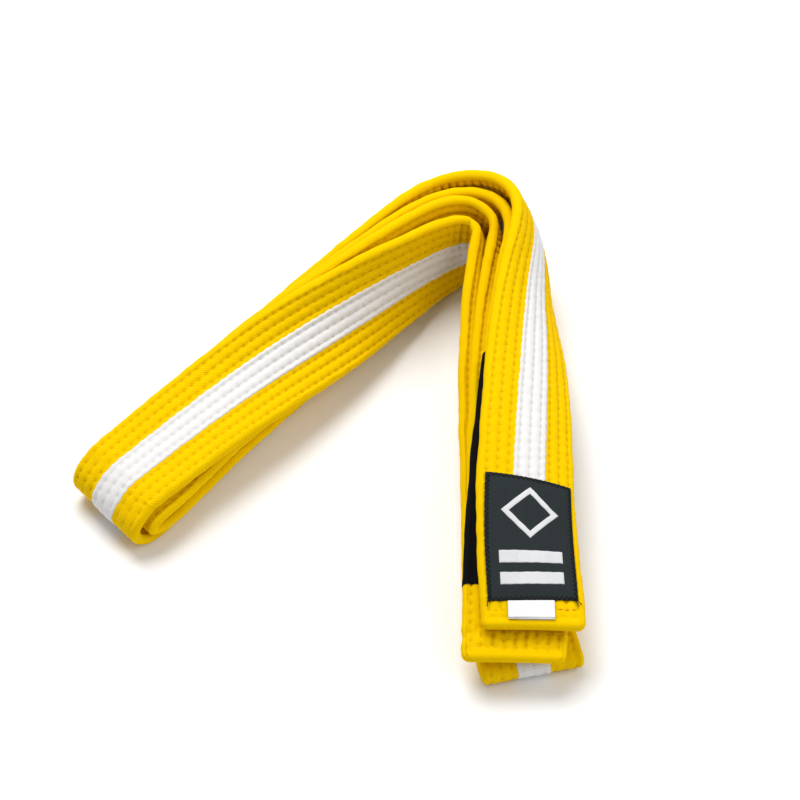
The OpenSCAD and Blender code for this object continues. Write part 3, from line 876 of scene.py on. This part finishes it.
# Cut thread ends at the label's lower corners
for tail, radius, stops in (
        ("left", 0.19, [(12.6, 15.8, 3.1), (11.3, 16.8, 3.5), (9.9, 17.3, 3.2), (8.6, 17.3, 2.95)]),
        ("right", 0.19, [(12.4, -14.4, 3.1), (11.1, -15.4, 3.6), (9.6, -16.4, 3.2), (8.4, -16.9, 2.95)]),
        ("right_short", 0.18, [(12.4, -15.8, 3.1), (11.2, -16.3, 3.6), (10.0, -17.2, 3.3),
                               (9.4, -18.4, 3.0)])):
    loose_thread("thread_tail_" + tail, stops, radius, black_thread, "black_thread", "label_end")


# ---------------------------------------------------------------- hems
def hem_threads(name, at, pitch, low, high, side, material, move, rise=0.0, radius=0.16):
    """A row of stitches across the belt, at a distance from the label tip."""
    ease = np.linspace(-0.5, 0.5, 6)
    bow = np.array([-0.3, -0.04, 0.05, 0.05, -0.04, -0.3])
    middle = np.arange(low + pitch / 2, high, pitch)
    u = (middle[:, None] + ease[None, :] * pitch * 0.82).reshape(-1, 1)
    s = np.full(len(u), float(at))
    face = half_thickness(s[:, None], u, side) + np.tile(bow, len(middle))[:, None] + rise
    points = place(s, u, face * side)[:, 0].reshape(len(middle), 6, 3)
    over = place(s, u, (face + 1) * side)[:, 0].reshape(len(middle), 6, 3)
    points, faces = thread_tubes(points, unit(over - points), radius * np.array([0.6, 0.9, 1, 1, 0.9, 0.6]))
    move(make_object(name, points, faces, None, material, "yellow_cotton"))


def on_label_end(piece):
    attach(piece, "label_end")


def on_rank_end(piece):
    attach(piece, "rank_end")


HEM_HALF, RANK_HEM = 16.5, LENGTH - 5.2
hem_threads("hem_stitch_label_right", 7.4, 2.6, -HEM_HALF, -8.6, 1, orange_thread, on_label_end, 0.1, 0.17)
hem_threads("hem_stitch_label_left", 7.4, 2.6, 10.4, HEM_HALF, 1, yellow_thread, on_label_end, 0.05)
hem_threads("hem_stitch_label_back", 4.2, 3.6, -HEM_HALF, HEM_HALF, -1, yellow_thread, on_label_end)
hem_threads("hem_stitch_rank_front", RANK_HEM, 3.6, -HEM_HALF, HEM_HALF, 1, yellow_thread, on_rank_end)
hem_threads("hem_stitch_rank_back", RANK_HEM, 3.6, -HEM_HALF, HEM_HALF, -1, yellow_thread, on_rank_end)
for k, at in enumerate((8.4, 10.6, 12.8)):
    hem_threads(f"backtack_rank_{k}", LENGTH - at, 2.3, -3.5, 5.7, -1, yellow_thread, on_rank_end, 0.1, 0.2)

# Cut ends of the hem's sewing thread, under the label end's right corner
for number, radius, stops in (
        (1, 0.2, [(3.2, -9.0, 2.3), (1.2, -9.6, 2.9), (-0.8, -10.4, 3.0), (-2.6, -11.4, 2.6)]),
        (2, 0.2, [(3.0, -10.2, 2.3), (1.0, -11.4, 2.9), (-1.0, -12.2, 2.6), (-3.4, -12.6, 3.0)]),
        (3, 0.18, [(3.0, -8.0, 2.3), (1.2, -7.8, 2.8), (-0.4, -8.6, 3.0), (-1.8, -9.8, 3.4)])):
    loose_thread(f"hem_tail_{number}", stops, radius, yellow_thread, "yellow_cotton", "label_end", -1)

# ---------------------------------------------------------------- the size tag
TAG_W, TAG_LEN, TAG_MID, TAG_FAR = 17.5, 7.5, 1.0, LABEL_FROM - 0.4


def tag_layer(low, high, base, thick, phase):
    """Points, faces and uv of one satin layer of the folded tag."""
    s, u = fine_to_rim(low, high, 0.7), fine_to_rim(TAG_MID - TAG_W / 2, TAG_MID + TAG_W / 2, 0.7)
    x = np.abs(u[None, :] - TAG_MID) / (TAG_W / 2)
    top = base + 0.10 * np.sin(u[None, :] / 3.1 + phase) * smooth(high - s[:, None], 0, 6)
    top = top + 0.12 * x ** 2
    rim = np.minimum((TAG_W / 2 - np.abs(u - TAG_MID))[None, :], np.minimum(s - low, high - s)[:, None])
    top = top - thick * (1 - np.sqrt(np.clip(1 - (1 - np.clip(rim / 0.16, 0, 1)) ** 2, 0, 1))) * 0.6
    return pad(s, u, top, top - thick)


TAG_LAYERS = [tag_layer(TAG_FAR - TAG_LEN + 0.5, TAG_FAR, 3.55, 0.22, 0.3),
              tag_layer(TAG_FAR - TAG_LEN, TAG_FAR - 0.1, 3.15, 0.22, 1.4)]
tag_points, tag_faces = merged([layer[:2] for layer in TAG_LAYERS])
tag_uv = np.concatenate([layer[2] for layer in TAG_LAYERS])
tag = make_object("size_tag_satin", tag_points, tag_faces, tag_uv, satin, "tag_satin")
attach(tag, "size_tag")
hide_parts("size_tag")

# ---------------------------------------------------------------- camera, floor and light
ELEVATION = math.radians(50.25)
TARGET = Vector(-MIDDLE * MM)
LOOK = Vector((0, math.cos(ELEVATION), -math.sin(ELEVATION)))
camera_data = bpy.data.cameras.new("Camera")
camera_data.lens, camera_data.sensor_width = 147.9, 36
camera = bpy.data.objects.new("Camera", camera_data)
camera.location = TARGET - LOOK * 1.341
camera.rotation_euler = LOOK.to_track_quat("-Z", "Y").to_euler()
bpy.context.scene.collection.objects.link(camera)
bpy.context.scene.camera = camera

floor_paper = Cloth("floor_paper", (0.93, 0.93, 0.93), 0.95, 0.0)
FLOOR_HALF, FLOOR_Z = 3000, -0.05
floor_corners = [(x * FLOOR_HALF, y * FLOOR_HALF, FLOOR_Z) for x, y in ((-1, -1), (1, -1), (1, 1), (-1, 1))]
floor = make_object("floor", floor_corners, [(0, 1, 2, 3)], material=floor_paper.material)


def area_light(name, location, size, power, target=(0.0, 0.0, 0.02)):
    data = bpy.data.lights.new(name, "AREA")
    data.size, data.energy = size, power
    obj = bpy.data.objects.new(name, data)
    obj.location = location
    obj.rotation_euler = (Vector(target) - Vector(location)).to_track_quat("-Z", "Y").to_euler()
    bpy.context.scene.collection.objects.link(obj)


area_light("key", (-0.25, 0.6, 1.3), 0.9, 21)
area_light("fill", (0.9, -0.35, 1.0), 1.0, 6)
world = bpy.data.worlds.new("studio")
world.use_nodes = True
world.node_tree.nodes["Background"].inputs["Color"].default_value = (1, 1, 1, 1)
world.node_tree.nodes["Background"].inputs["Strength"].default_value = 0.36
bpy.context.scene.world = world
bpy.context.scene.view_settings.view_transform = "Standard"
